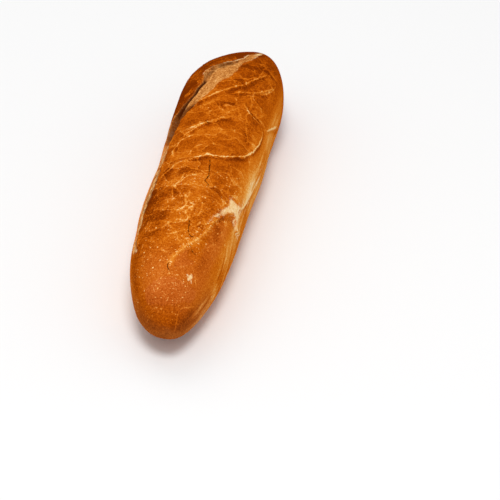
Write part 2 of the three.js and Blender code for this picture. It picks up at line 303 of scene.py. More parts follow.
RELIEF_LIMIT = 0.97  # share of the half length
RELIEF_FADE = 0.09
SOLE_ANGLE = 125
SOLE_FADE = 25

# Cells of the scales along and round the loaf: one leaf is about 11 mm by 15 mm, one flake 4 by 5.5
LEAF_GRID = ((1 / 11.0, 0.02), (0.03, 1 / 15.0))
FLAKE_GRID = ((1 / 4.2, 0.04), (0.05, 1 / 5.5))
SCALE_WARP = 3.2
GRAIN_HEIGHT = 0.12
FIBRE_HEIGHT = 0.35

RINGS = 420
RING_CROWDING = 0.3
PLAIN_FLANK = 98
SLASHED_FLANK = -128
LEAST_BAND = 5
# From the middle of the sole: plain underside, crown, crumb, wall, flap, slashed underside
COLUMNS = (14, 134, 26, 4, 38, 14)


# ---------------------------------------------------------------- curves and noise
def smooth_step(start, end, v):
    s = np.clip((v - start) / (end - start), 0, 1)
    return s * s * (3 - 2 * s)


def between(v, out_low, in_low, in_high, out_high):
    """1 from in_low to in_high, fading to 0 at out_low and out_high."""
    return smooth_step(out_low, in_low, v) * (1 - smooth_step(in_high, out_high, v))


def through(rows, place, column):
    """A smooth curve through rows of (place, value, ...), at an array of places."""
    table = np.array(rows, float)
    at, value = table[:, 0], table[:, column]
    before = np.maximum(np.arange(len(at)) - 1, 0)
    after = np.minimum(np.arange(len(at)) + 1, len(at) - 1)
    slope = (value[after] - value[before]) / (at[after] - at[before])
    p = np.clip(place, at[0], at[-1])
    k = np.clip(np.searchsorted(at, p, side="right") - 1, 0, len(at) - 2)
    gap = at[k + 1] - at[k]
    s = (p - at[k]) / gap
    rise = s * s * (3 - 2 * s)
    ends = value[k] * (1 - rise) + value[k + 1] * rise
    return ends + gap * (slope[k] * s * (1 - s) ** 2 - slope[k + 1] * s * s * (1 - s))


def along_loaf(values, t):
    last = len(values) - 1
    return through([(2 * i / last - 1, v) for i, v in enumerate(values)], t, 1)


def lattice(i, j, k, seed):
    """A repeatable number from 0 to 1 for each corner of a lattice."""
    h = (i * 374761393 + j * 668265263 + k * 1274126177 + seed * 974634777) & 0xFFFFFFFF
    h = ((h ^ (h >> 13)) * 1103515245) & 0xFFFFFFFF
    h = ((h ^ (h >> 16)) * 1540483477) & 0xFFFFFFFF
    return ((h ^ (h >> 15)) & 0xFFFF) / 65535.0


def noise(points, size, seed):
    """Smooth noise from -1 to 1 with lumps of the given size."""
    p = points / np.asarray(size, float)
    cell = np.floor(p).astype(np.int64)
    f = p - cell
    f = f * f * (3 - 2 * f)
    total = 0
    for corner in range(8):
        d = np.array([corner & 1, corner >> 1 & 1, corner >> 2 & 1])
        weight = np.prod(np.where(d, f, 1 - f), axis=-1)
        c = cell + d
        total = total + weight * lattice(c[..., 0], c[..., 1], c[..., 2], seed)
    return 2 * total - 1


def rough_noise(points, size, seed, octaves=3):
    total, share, whole = 0, 1.0, 0
    for octave in range(octaves):
        total = total + share * noise(points, np.asarray(size, float) / 2**octave, seed + octave)
        whole += share
        share *= 0.55
    return total / whole


def nearest_cells(points, seed):
    """For flat points: the offset to the nearest scattered cell centre, how much further the
    second is, and a random number for the nearest cell."""
    cell = np.floor(points).astype(np.int64)
    first = np.full(len(points), 9.0)
    second = np.full(len(points), 9.0)
    offset = np.zeros_like(points)
    mark = np.zeros(len(points))
    zero = np.zeros(len(points), np.int64)
    for di in (-1, 0, 1):
        for dj in (-1, 0, 1):
            i, j = cell[:, 0] + di, cell[:, 1] + dj
            centre = np.stack([i + lattice(i, j, zero, seed), j + lattice(i, j, zero, seed + 7)], 1)
            away = points - centre
            d = np.hypot(away[:, 0], away[:, 1])
            closer = d < first
            second = np.where(closer, first, np.minimum(second, d))
            offset = np.where(closer[:, None], away, offset)
            mark = np.where(closer, lattice(i, j, zero, seed + 13), mark)
            first = np.minimum(first, d)
    return offset, second - first, mark


def smooth_path(line):
    """A smooth path through the line's places on the unrolled crust, both ways in mm."""
    p = np.array(line, float) * (1, MM_PER_DEGREE)
    p = np.vstack([2 * p[0] - p[1], p, 2 * p[-1] - p[-2]])
    out = []
    for k in range(1, len(p) - 2):
        a, b, c, d = p[k - 1 : k + 3]
        for s in np.arange(LINE_STEPS) / LINE_STEPS:
            out.append(
                0.5 * (2 * b + (c - a) * s + (2 * a - 5 * b + 4 * c - d) * s**2
                       + (3 * b - a - 3 * c + d) * s**3)
            )
    out.append(p[-2])
    return np.array(out)


def beside_path(path, flat):
    """Distance of flat points from a path, plus on its left, and the way to its nearer end."""
    best = np.full(len(flat), 1e9)
    side = np.ones(len(flat))
    at = np.zeros(len(flat))
    travelled = 0.0
    for a, b in zip(path[:-1], path[1:]):
        step = b - a
        span = np.hypot(*step)
        off = flat - a
        share = np.clip(off @ step / span**2, 0, 1)
        away = off - share[:, None] * step
        d = np.hypot(away[:, 0], away[:, 1])
        closer = d < best
        best = np.where(closer, d, best)
        side = np.where(closer, np.where(step[0] * away[:, 1] < step[1] * away[:, 0], -1, 1), side)
        at = np.where(closer, travelled + share * span, at)
        travelled += span
    return best * side, np.minimum(at, travelled - at)


# ---------------------------------------------------------------- form of the loaf
def closing(t, bluntness):
    return np.sqrt(np.clip(1 - np.abs(t) ** bluntness, 0, 1))


def signed_power(v, power):
    return np.sign(v) * np.abs(v) ** power


def bare_loaf(t, angle):
    bluntness = np.where(t > 0, NARROW_END[0], THICK_END[0])
    tip_aside = np.where(t > 0, NARROW_END[1], THICK_END[1])
    full = closing(t, bluntness)
    aside = np.sin(np.radians(angle))
    up = np.cos(np.radians(angle))
    power = 2 / np.where(up > 0, CROWN_FULLNESS, SOLE_FULLNESS)
    half_width = np.where(aside > 0, along_loaf(PLAIN_SIDE, t), along_loaf(SLASHED_SIDE, t))
    under = (WIDEST_LEVEL + SOLE_SINK) * closing(t, UNDERSIDE_BLUNTNESS)
    rise = np.where(up > 0, along_loaf(CROWN, t) * full, under)
    return np.stack(
        [
            HALF_LENGTH * t,
            half_width * full * signed_power(aside, power) + tip_aside * (1 - full),
            WIDEST_LEVEL + rise * signed_power(up, power),
        ],
        -1,
    )


def outward(t, angle):
    along = bare_loaf(np.minimum(t + 0.002, 1), angle) - bare_loaf(np.maximum(t - 0.002, -1), angle)
    around = bare_loaf(t, angle + 1) - bare_loaf(t, angle - 1)
    n = np.cross(along, around)
    return n / np.linalg.norm(n, axis=-1, keepdims=True)


def torn(x, size, seed):
    """A ragged line: noise along x."""
    p = np.stack([x, np.zeros_like(x), np.zeros_like(x)], -1)
    return rough_noise(p, size, seed, 3)


def slash_edges(x):
    wander = between(x, SLASH_START, SLASH_START + EDGE_FADE, SLASH_END - EDGE_FADE, SLASH_END)
    outer = through(SLASH, x, 1) + 2.2 * torn(x, 4.5, 3) * wander
    inner = through(SLASH, x, 2) + (2.2 * torn(x, 8.0, 5) + 1.3 * torn(x, 2.6, 9)) * wander
    return outer, np.maximum(inner, outer + LEAST_BAND)


def slash_opening(x):
    return between(x, SLASH_START, SLASH_START + SLASH_FADE, SLASH_END - SLASH_FADE, SLASH_END)


def slash_relief(x, angle):
    outer, inner = slash_edges(x)
    rise, foot, middle, crust_foot = (through(SLASH, x, column) for column in (3, 4, 5, 6))
    beyond = (outer - angle) * MM_PER_DEGREE
    short_of = (inner - angle) * MM_PER_DEGREE
    crumb = middle + (foot - middle) * np.exp(-(((-beyond - CREVICE_WALL) / FOOT_WIDTH) ** 2))
    crumb += (crust_foot - middle) * np.exp(-((short_of / FOOT_WIDTH) ** 2))
    wall = smooth_step(0, CREVICE_WALL, -beyond)
    flap = rise * np.exp(-np.maximum(beyond, 0) / EDGE_REACH)
    crust_rise = CRUST_EDGE_RISE * smooth_step(POCKET_START, POCKET_END, x)
    crust = crust_rise * np.exp(-np.maximum(-short_of, 0) / CRUST_EDGE_REACH)
    within = np.where(short_of > 0, rise + (crumb - rise) * wall, crust)
    return slash_opening(x) * np.where(beyond >= 0, flap, within)


def lip_relief(flat):
    """Height of the lips, the (distance, strength) of their rims, and the shade in their lee."""
    total = np.zeros(len(flat))
    lee = np.zeros(len(flat))
    rims = []
    for height, reach, pale, line in LIPS:
        path = smooth_path(line)
        standing = -1 if path[-1, 1] < path[0, 1] else 1
        away, to_end = beside_path(path, flat)
        up = away * standing + LIP_WANDER * WANDER
        fade = smooth_step(0, LIP_FADE, to_end)
        stand = np.exp(-np.maximum(up, 0) / reach)
        trough = -TROUGH_SHARE * np.exp(-np.maximum(-up, 0) / TROUGH_REACH)
        drop = smooth_step(-LIP_DROP, 0, up)
        total += height * fade * (trough + (stand - trough) * drop)
        rims.append((up - RIM_OFFSET, pale * fade))
        lee = np.maximum(lee, pale * fade * np.exp(-(((up + LEE_PLACE) / LEE_WIDTH) ** 2)))
    return total, rims, lee


# ---------------------------------------------------------------- the net of corners
even = 2 * np.arange(1, RINGS) / RINGS - 1
ring_t = even + (np.sin(even * math.pi / 2) - even) * RING_CROWDING
ring_x = HALF_LENGTH * ring_t
outer_edge, inner_edge = slash_edges(ring_x)
wall_foot = outer_edge + CREVICE_WALL / MM_PER_DEGREE


def on_rings(angle):
    return np.full_like(ring_x, angle)


stretches = (
    (on_rings(180), on_rings(PLAIN_FLANK)),
    (on_rings(PLAIN_FLANK), inner_edge),
    (inner_edge, wall_foot),
    (wall_foot, outer_edge),
    (outer_edge, on_rings(SLASHED_FLANK)),
    (on_rings(SLASHED_FLANK), on_rings(-180)),
)
angles = np.concatenate(
    [a[:, None] + (b - a)[:, None] * np.arange(n) / n for (a, b), n in zip(stretches, COLUMNS)], 1
)
around = angles.shape[1]
T = np.repeat(ring_t[:, None], around, 1).ravel()
A = angles.ravel()
X = HALF_LENGTH * T
bare = bare_loaf(T, A)
normals = outward(T, A)
flat = np.stack([X, A * MM_PER_DEGREE], 1)

# How a line wanders from its drawn course, in mm, and where it is broken
WANDER = 1.6 * rough_noise(bare, 6.0, 11, 3)
BREAKS = rough_noise(bare, 3.0, 15, 2)

above_sole = 1 - smooth_step(SOLE_ANGLE - SOLE_FADE, SOLE_ANGLE, np.abs(A))
off_tips = 1 - smooth_step(RELIEF_LIMIT - RELIEF_FADE, RELIEF_LIMIT, np.abs(T))
outer_here, inner_here = slash_edges(X)
opening_here = slash_opening(X)
in_slash = (A > outer_here) & (A < inner_here)

lips, lip_rims, lip_lee = lip_relief(flat)
swell = sum(
    h * np.exp(-((X - x) ** 2 + ((A - a) * MM_PER_DEGREE) ** 2) / w**2) for x, a, h, w in SWELLINGS
)
large = slash_relief(X, A) + lips + swell

# Scales on the crown: leaves of crust, each tipped a little, with its narrow-end side up
bloom = smooth_step(-112, -96, X) * (1 - smooth_step(66, 96, X + 0.35 * np.maximum(A - 20, 0)))
bloom *= between(A, -66, -54, 50, 66) * (~in_slash | (opening_here < 0.2))
scale_warp = SCALE_WARP * np.stack([rough_noise(bare, 9.0, 21), rough_noise(bare, 9.0, 27)], 1)
leaf, leaf_gap, leaf_mark = nearest_cells((flat + scale_warp) @ np.array(LEAF_GRID), 31)
leaf_tilt = 0.55 * leaf[:, 0] + 0.35 * (leaf_mark - 0.5) * leaf[:, 1] + 0.25 * (leaf_mark - 0.5)
leaf_rim = np.exp(-((leaf_gap / 0.05) ** 2)) * (0.7 + 0.6 * BREAKS)
flake, flake_gap, flake_mark = nearest_cells((flat + 0.6 * scale_warp) @ np.array(FLAKE_GRID), 47)
flake_rim = np.exp(-((flake_gap / 0.10) ** 2)) * smooth_step(-0.3, 0.5, BREAKS)
scales = bloom * (1.1 * leaf_tilt + 0.3 * (flake_mark - 0.5) + 0.25 * flake[:, 0])

# Grain of the crust, streaks drawn out along the flanks, and fibre of the crumb along the slash
grain = GRAIN_HEIGHT * rough_noise(bare, (3.0, 2.4, 2.4), 61, 3)
bend = np.where(A > 0, 15 * smooth_step(40, 92, X), 0) + 0.6 * noise(bare, 14.0, 75)
drawn_out = np.stack([X, A * MM_PER_DEGREE - bend, np.zeros_like(X)], -1)
streaks = rough_noise(drawn_out, (22.0, 2.8, 9.0), 71, 2)
fine_streaks = rough_noise(drawn_out, (11.0, 1.0, 9.0), 73, 2)
slash_middle = (outer_here + inner_here) / 2
along_slash = np.stack([X, (A - slash_middle) * MM_PER_DEGREE, np.zeros_like(X)], -1)
crumb_fibre = rough_noise(along_slash, (8.0, 1.0, 9.0), 81, 3)

fine = scales + grain * (0.5 + 0.5 * bloom)
fine = np.where(in_slash, FIBRE_HEIGHT * crumb_fibre * opening_here, fine)
relief = (large + fine) * off_tips * above_sole + grain * 0.6 * (1 - above_sole * off_tips)
places = bare + normals * relief[:, None]
places[:, 2] = np.maximum(places[:, 2], 0)

tips = np.array(
    [[-HALF_LENGTH, THICK_END[1], WIDEST_LEVEL], [HALF_LENGTH, NARROW_END[1], WIDEST_LEVEL]]
)
places = np.vstack([places, tips])


def into_box(p, low, high):
    """Moves the points so that their box is centred as the part's is, and no larger."""
    low, high = np.array(low) * 1000, np.array(high) * 1000
    own_low, own_high = p.min(0), p.max(0)
    size = np.minimum((high - low) / (own_high - own_low), 1)
    middle = (own_low + own_high) / 2
    middle[2], target = own_low[2], (low + high) / 2
    target[2] = low[2]
    return (p - middle) * size + target


places = into_box(places, *cad_box) / 1000

ring_of = np.arange(RINGS - 2)[:, None] * around
column = np.arange(around)[None, :]
after = (column + 1) % around
quads = np.stack(
    [ring_of + column, ring_of + after, ring_of + around + after, ring_of + around + column], -1
).reshape(-1, 4)
first_tip, last_tip = len(places) - 2, len(places) - 1
last_ring = (RINGS - 2) * around
fans = [(first_tip, (c + 1) % around, c) for c in range(around)]
fans += [(last_tip, last_ring + c, last_ring + (c + 1) % around) for c in range(around)]

mesh = bpy.data.meshes.new("loaf_skin")
mesh.from_pydata(places.tolist(), [], quads.tolist() + fans)
mesh.shade_smooth()
loaf = bpy.data.objects.new("loaf_skin", mesh)
bpy.context.scene.collection.objects.link(loaf)


# ---------------------------------------------------------------- where the crust is pale, darker or redder, and where shade and sheen are painted
def spot(x, angle, length, width):
    """1 at a place, dying out over length along the loaf and width degrees round it."""
    return np.exp(-(((X - x) / length) ** 2) - ((A - angle) / width) ** 2)


def line_glow(line, width):
    """1 along a line, dying out over a width in mm."""
    away, to_end = beside_path(smooth_path(line), flat)
    return np.exp(-(((away + 0.5 * WANDER) / width) ** 2)) * smooth_step(0, GLOW_FADE, to_end)


frayed = 0.55 * BREAKS + 0.6 * rough_noise(bare, 1.6, 17, 2)


def stroke(strength, by_streaks, soft, ragged, dabs):
    """A painted stroke of changing width."""
    depth = np.full(len(flat), -9.0)
    for (x0, a0, r0), (x1, a1, r1) in zip(dabs[:-1], dabs[1:]):
        start = np.array([x0, a0 * MM_PER_DEGREE])
        step = np.array([x1, a1 * MM_PER_DEGREE]) - start
        share = np.clip((flat - start) @ step / (step @ step), 0, 1)
        away = np.linalg.norm(flat - start - share[:, None] * step, axis=1)
        depth = np.maximum(depth, r0 + (r1 - r0) * share - away)
    return (strength + by_streaks * fine_streaks) * smooth_step(-soft, soft, depth + ragged * frayed)


def strongest(*masks):
    return np.maximum.reduce(masks)


facing_up = normals[:, 2]
on_flank = smooth_step(POCKET_START, POCKET_END, X)
narrow_end = smooth_step(84, 104, X)
under_end = smooth_step(0.45, -0.35, facing_up) * narrow_end

# How brown the crust is, with painted shade in it: darker at both ends, partly from browning and partly
# painted shade, paler and streaked along the flanks
browning_and_shade = np.full(len(X), 0.70)
browning_and_shade += 0.12 * (1 - smooth_step(-112, -60, X)) + 0.10 * smooth_step(108, 127, X)
plain_flank = smooth_step(0, 16, A - 62 - 14 * smooth_step(50, 100, X)) * (1 - smooth_step(116, 150, A))
plain_flank *= between(X, -104, -60, 100, 124)
slashed_flank = between(A, -66, -84, -116, -150) * between(X, -100, -50, 90, 120)
flanks = plain_flank + slashed_flank
streaky = np.where(A > 0, 1 + 0.8 * smooth_step(50, 80, X), 0.5)
streaky *= 1 - 0.55 * smooth_step(98, 120, np.abs(A))
browning_and_shade -= 0.24 * flanks
browning_and_shade -= flanks * (0.18 * (streaks + fine_streaks) * streaky + 0.12 * rough_noise(bare, 10.0, 131, 3))
browning_and_shade += sum(amount * spot(x, a, length, width) for amount, x, a, length, width in PATCHES)

# The flap is darker over its upper part, partly browning and partly painted shade, and the underside of
# the narrow end gets painted shade where it faces down; the foot of the flanks is paler
flap_browning_and_shade = (A < outer_here) * smooth_step(-28, -50, X) * smooth_step(-122, -100, X)
browning_and_shade += 0.30 * flap_browning_and_shade * (1 - smooth_step(-62, -104, A))
browning_and_shade += 0.05 * under_end + 0.04 * narrow_end * smooth_step(0.65, 0.25, facing_up) * (A < 0)
low = smooth_step(118, 140, np.abs(A))
browning_and_shade -= 0.10 * smooth_step(96, 116, np.abs(A)) * (1 - low)
browning_and_shade += low * (0.16 * rough_noise(bare, 7.0, 111, 3) - 0.10)

# Each scale has its own tone and a paler rim, and painted shade lies in the lee of each lip
unrolled = np.stack([X, A * MM_PER_DEGREE, np.zeros_like(X)], -1)
across_skin = rough_noise(unrolled, (1.6, 7.0, 9.0), 101, 2)
browning_and_shade -= 0.05 * bloom * smooth_step(10, 30, X)
browning_and_shade += bloom * (0.06 * rough_noise(bare, 8.0, 91, 3) + 0.20 * (leaf_mark - 0.5))
browning_and_shade -= bloom * (0.10 * leaf_rim + 0.08 * flake_rim)
browning_and_shade += 0.14 * np.clip(lip_lee, 0, 1.2) * above_sole
browning_and_shade += 0.05 * across_skin * bloom * (1 - smooth_step(0, 30, X))

# The smooth tongue of crust is redder, with painted sheen on it, and a paler edge
tongue_edge = line_glow(TONGUE_EDGE, 2.2)
browning_and_shade -= 0.26 * tongue_edge
red_and_sheen = smooth_step(78, 100, X) * between(A, -60, -25, 58, 80)
red_and_sheen = np.maximum(red_and_sheen, smooth_step(40, 60, X) * between(A, 36, 44, 56, 70))
red_and_sheen *= 0.55 * (1 - smooth_step(118, 128, X))
red_and_sheen = strongest(red_and_sheen, *(stroke(*row) for row in RED_AND_SHEEN_STROKES)) * (1 - 0.9 * tongue_edge)
mottled = between(X, 44, 58, 88, 100) * smooth_step(-64, -50, A)
mottled *= smooth_step(3, -4, A - through(MOTTLE_LIMIT, X, 1))
stippled = between(X, 50, 70, 124, 128) * (1 - 0.6 * smooth_step(30, 60, A))
stippled *= 1.3 + 0.9 * rough_noise(bare, 9.0, 121, 2)
flecked = np.maximum(bloom * (smooth_step(-10, 25, X) + 0.25), stippled) + 0.6 * tongue_edge

# Crumb in the slash, toasted next to the crust on the flank, and the torn rim of the flap
from_flap = (A - outer_here) * MM_PER_DEGREE
below_crust = (inner_here - A) * MM_PER_DEGREE
crumb = in_slash * smooth_step(0.15, 0.45, opening_here)
toasted = 1 - smooth_step(0.6, 1.8, below_crust) + smooth_step(5.0, 8.0, below_crust + 2.2 * frayed)
crumb *= 1 - 0.75 * on_flank * np.clip(toasted, 0, 1)
crumb *= 1 - 0.8 * on_flank * smooth_step(0.15, 0.45, frayed)
flap_rim = np.exp(-((from_flap / (0.8 + 0.6 * on_flank)) ** 2)) * (from_flap < 0.5)
pale_rim = smooth_step(-52, -44, X) * (1 - 0.4 * smooth_step(-26, -16, X))
pale_rim = np.maximum(pale_rim, smooth_step(-74, -78, X))
flap_rim *= smooth_step(0.2, 0.6, opening_here) * (0.3 + 0.6 * pale_rim)
far_rim = flap_rim * smooth_step(-71, -76, X)
crumb = np.maximum(crumb, 0.9 * (flap_rim - far_rim) * smooth_step(-0.55, 0.15, BREAKS))
hollow_rim = (1.2 - 0.35 * smooth_step(-90, -98, X)) * far_rim * smooth_step(-0.7, 0.1, BREAKS)
cream = strongest(hollow_rim, *(stroke(*row) for row in CREAM_STROKES))

# Painted shade: in the crevice under the flap, in the pocket below it over partly browned crumb, in the
# holes of the torn crumb, and under torn edges and the flap's overhang
crevice = between(from_flap, -0.1, 0.2, 0.6, 1.0) * between(X, -74, -67, -46, -40)
pocket_edge = 2.2 * (1 - smooth_step(-44, -37, X))
pocket = in_slash * between(X, -51, -47, -28, -21)
pocket *= smooth_step(pocket_edge, pocket_edge + 1.0, below_crust) * smooth_step(-0.3, 0.3, from_flap)
deepest = np.exp(-(((below_crust - pocket_edge - 1.4) / 1.2) ** 2)) * smooth_step(-36, -42, X)
pocket *= 0.75 + 0.25 * deepest
crumb *= 1 - 0.55 * pocket
torn_strip = on_flank * opening_here
under_crust = 0.55 * torn_strip * np.exp(-(((below_crust - 0.7) / 0.8) ** 2)) * (A < inner_here)
holes = smooth_step(0.12, 0.38, rough_noise(bare, (3.0, 1.3, 1.3), 23, 2))
holes *= smooth_step(0.3, 0.9, from_flap) * smooth_step(0.2, 0.8, below_crust)
holes *= 0.55 * torn_strip * in_slash
overhang = between(from_flap, -0.2, 0.2, 0.3, 0.8) * between(X, -93, -91, -88, -84)
overhang *= 0.7 * smooth_step(-0.4, 0.1, BREAKS)
cleft = stroke(*HOLLOW_CLEFT)
shaded = stroke(*HOLLOW_SHADE) * smooth_step(-0.35, 0.35, rough_noise(bare, 2.2, 19, 2))
beside_patch = 0.25 * line_glow(BESIDE_PATCH, 0.9)
painted_shade = strongest(crevice, pocket, under_crust, holes, overhang, cleft, shaded, beside_patch)


def nearest_line(lines):
    """From (signed distances in mm, strengths): the distance to the nearest line, and its strength.

    The distance stays exact across a line between corners, so the material can draw it sharply.
    """
    offset = np.full(len(flat), LINE_SEEN)
    on = np.zeros(len(flat))
    for away, strength in lines:
        closer = np.abs(away) < np.abs(offset)
        offset = np.where(closer, away, offset)
        on = np.where(closer, strength, on)
    return offset, on * (1 - smooth_step(0.5 * LINE_SEEN, LINE_SEEN, np.abs(offset)))


def drawn(line, strength, fade, wander):
    away, to_end = beside_path(smooth_path(line), flat)
    return away + wander * WANDER, strength * smooth_step(0, fade, to_end)


rim_off, rim_on = nearest_line(lip_rims + [drawn(line, strength, 4.0, 0.4) for strength, line in VEINS])
rim_on *= 1 - 0.55 * spot(-42, 56, 10, 16)
crack_off, crack_on = nearest_line([drawn(line, 1.0, 1.5, 0.15) for line in CRACKS])

layers = {
    "browning_and_shade": browning_and_shade,
    "cream": cream,
    "red_and_sheen": red_and_sheen,
    "crumb": crumb,
    "fibre": crumb_fibre + 1.2 * on_flank,
    "painted_shade": painted_shade,
    "bloom": bloom,
    "rim_off": rim_off,
    "rim_on": rim_on * above_sole,
    "crack_off": crack_off,
    "crack_on": crack_on,
    "fleck": flecked,
    "mottled": mottled,
    # painted shade, greyer brown, on the underside of the narrow end
    "underside_shade": 0.62 * under_end,
}
for name, values in layers.items():
    layer = mesh.attributes.new(name, "FLOAT", "POINT")
    with_tips = np.append(values, [values[0], values[-1]])
    layer.data.foreach_set("value", with_tips.astype(np.float32))


# ---------------------------------------------------------------- crust material
# Noise in the crust: size of its lumps in metres, detail, roughness and seed
PATTERNS = {
    "clouds": (0.004, 3, 0.6, 0),
    "speckle": (0.0008, 2, 0.7, 0),
    "line gaps": (0.006, 1, 0.5, 0),
    "flecks": (0.0009, 2, 0.7, 7),
    "mottle": (0.0024, 3, 0.75, 23),
    "shake": (0.0016, 2, 0.6, 11),
    "rim gaps": (0.0045, 2, 0.6, 13),
    "crack gaps": (0.0025, 1, 0.5, 17),
    "cream edge": (0.0009, 3, 0.8, 0),
    "cream shade": (0.0018, 4, 0.8, 4),
    "crumb": (0.0014, 3, 0.65, 0),
    "pores": (0.0007, 2, 0.8, 29),
    "bumps": (0.0013, 4, 0.65, 0),
}
WARP_SIZE = 0.010
WARP_REACH = 0.012
PLATE_STRETCH = (1.0, 0.65, 0.65)
PLATE_SIZE = 0.011
BLISTER_SIZE = 0.0042
CRACKLE_SIZE = 0.0036
RIM_HALF_WIDTH = 0.55
BUMP_STRENGTH = 0.45
BUMP_HEIGHT = 0.00025


def srgb(r, g, b):
    def linear(v):
        v /= 255
        return v / 12.92 if v <= 0.04045 else ((v + 0.055) / 1.055) ** 2.4

    return (linear(r), linear(g), linear(b), 1)


GOLDEN = (
    (0.0, srgb(242, 204, 140)),
    (0.22, srgb(232, 165, 78)),
    (0.42, srgb(214, 122, 28)),
    (0.62, srgb(194, 96, 10)),
    (0.80, srgb(165, 73, 4)),
    (1.0, srgb(120, 46, 1)),
)
# Lifts the blue, as painted sheen on the redder crust
REDDER_WITH_SHEEN = (0.97, 0.95, 3.4, 1)
CREAM = (
    (0.26, srgb(208, 142, 68)),
    (0.40, srgb(232, 186, 120)),
    (0.54, srgb(243, 206, 150)),
    (0.72, srgb(252, 228, 184)),
)
CRUMB = (
    (0.2, srgb(142, 80, 34)),
    (0.45, srgb(190, 118, 52)),
    (0.7, srgb(222, 156, 84)),
    (0.95, srgb(240, 200, 144)),
)
# Greyer browns of the painted shade under the narrow end
UNDERSIDE_SHADE = (
    (0.3, srgb(214, 150, 92)),
    (0.6, srgb(170, 98, 44)),
    (1.0, srgb(122, 62, 22)),
)
# Colour of the painted shade
SHADE = srgb(66, 14, 0)
CRACK = srgb(58, 16, 2)


class Nodes:
    """Short calls that add nodes to one material."""

    def __init__(self, material):
        material.use_nodes = True
        self.tree = material.node_tree
        self.tree.nodes.clear()

    def add(self, kind, **settings):
        node = self.tree.nodes.new(kind)
        for key, value in settings.items():
            setattr(node, key, value)
        return node

    def put(self, value, socket):
        if isinstance(value, bpy.types.NodeSocket):
            self.tree.links.new(value, socket)
        else:
            socket.default_value = value

    def attribute(self, name):
        return self.add("ShaderNodeAttribute", attribute_name=name).outputs["Fac"]

    def math(self, operation, a, b=0.0, clamp=False):
        node = self.add("ShaderNodeMath", operation=operation, use_clamp=clamp)
        self.put(a, node.inputs[0])
        self.put(b, node.inputs[1])
        return node.outputs[0]

    def plus(self, a, b):
        return self.math("ADD", a, b)

    def minus(self, a, b):
        return self.math("SUBTRACT", a, b)

    def times(self, a, b):
        return self.math("MULTIPLY", a, b)

    def above(self, value, start, gain):
        """0 up to start, then rising by gain as far as 1."""
        return self.math("MULTIPLY", self.minus(value, start), gain, clamp=True)

    def close_to(self, distance, gain):
        """1 at no distance, falling by gain as far as 0."""
        return self.math("SUBTRACT", 1.0, self.times(distance, gain), clamp=True)

    def spread(self, value, amount):
        """Noise from 0 to 1 as a change of plus or minus amount."""
        return self.times(self.minus(value, 0.5), 2 * amount)

    def mix(self, share, a, b, blend="MIX"):
        node = self.add("ShaderNodeMix", data_type="RGBA", blend_type=blend)
        self.put(share, node.inputs[0])
        self.put(a, node.inputs[6])
        self.put(b, node.inputs[7])
        return node.outputs[2]

    def ramp(self, value, stops):
        node = self.add("ShaderNodeValToRGB")
        self.put(value, node.inputs[0])
        elements = node.color_ramp.elements
        while len(elements) < len(stops):
            elements.new(0.5)
        for element, (place, colour) in zip(elements, stops):
            element.position = place
            element.color = colour
        return node.outputs[0]

    def noise(self, vector, size, detail, roughness, seed):
        node = self.add("ShaderNodeTexNoise", noise_dimensions="4D")
        node.inputs["W"].default_value = seed
        self.put(vector, node.inputs["Vector"])
        node.inputs["Scale"].default_value = 1 / size
        node.inputs["Detail"].default_value = detail
        node.inputs["Roughness"].default_value = roughness
        return node

    def cells(self, vector, size, feature="F1"):
        node = self.add("ShaderNodeTexVoronoi", feature=feature)
        self.put(vector, node.inputs["Vector"])
        node.inputs["Scale"].default_value = 1 / size
        return node

    def edge_distance(self, vector, size):
        return self.cells(vector, size, "DISTANCE_TO_EDGE").outputs["Distance"]

    def red_part(self, colour):
        node = self.add("ShaderNodeSeparateColor")
        self.put(colour, node.inputs[0])
        return node.outputs[0]


crust = bpy.data.materials.new("crust")
n = Nodes(crust)
place = n.add("ShaderNodeTexCoord").outputs["Object"]
bloom_here = n.attribute("bloom")
fleck_here = n.attribute("fleck")
crumb_here = n.attribute("crumb")


def pattern(name, more_seed=0):
    size, detail, roughness, seed = PATTERNS[name]
    return n.noise(place, size, detail, roughness, seed + more_seed).outputs["Fac"]


def vein(size, sharpness, seed):
    """Thin broken lines, where noise crosses its middle."""
    middle = n.minus(n.noise(place, size, 3, 0.55, seed).outputs["Fac"], 0.5)
    gaps = n.above(pattern("line gaps", seed + 5), 0.38, 4)
    return n.times(n.close_to(n.math("ABSOLUTE", middle), sharpness), gaps)


def paler(tone, where, amount):
    return n.minus(tone, n.times(where, amount))


tone = n.plus(n.attribute("browning_and_shade"), n.spread(pattern("clouds"), 0.08))
tone = n.plus(tone, n.spread(pattern("speckle"), 0.46))
veins = n.math("ADD", vein(0.009, 36, 3), vein(0.005, 22, 9), clamp=True)
tone = paler(tone, n.times(veins, bloom_here), 0.17)

# Plates of crust, each of its own shade, with thin pale rims
warp = n.add("ShaderNodeVectorMath", operation="SUBTRACT")
n.put(n.noise(place, WARP_SIZE, 2, 0.5, 0).outputs["Color"], warp.inputs[0])
warp.inputs[1].default_value = (0.5, 0.5, 0.5)
warped = n.add("ShaderNodeVectorMath", operation="MULTIPLY_ADD")
n.put(warp.outputs[0], warped.inputs[0])
warped.inputs[1].default_value = (WARP_REACH, WARP_REACH, WARP_REACH)
n.put(place, warped.inputs[2])
long_plates = n.add("ShaderNodeMapping")
long_plates.inputs["Scale"].default_value = PLATE_STRETCH
n.put(warped.outputs[0], long_plates.inputs["Vector"])
plate_place = long_plates.outputs[0]
plate_shade = n.spread(n.red_part(n.cells(plate_place, PLATE_SIZE).outputs["Color"]), 0.15)
plate_rim = n.close_to(n.edge_distance(plate_place, PLATE_SIZE), 30.0)
tone = n.plus(tone, n.times(plate_shade, bloom_here))
tone = paler(tone, n.times(plate_rim, bloom_here), 0.26)

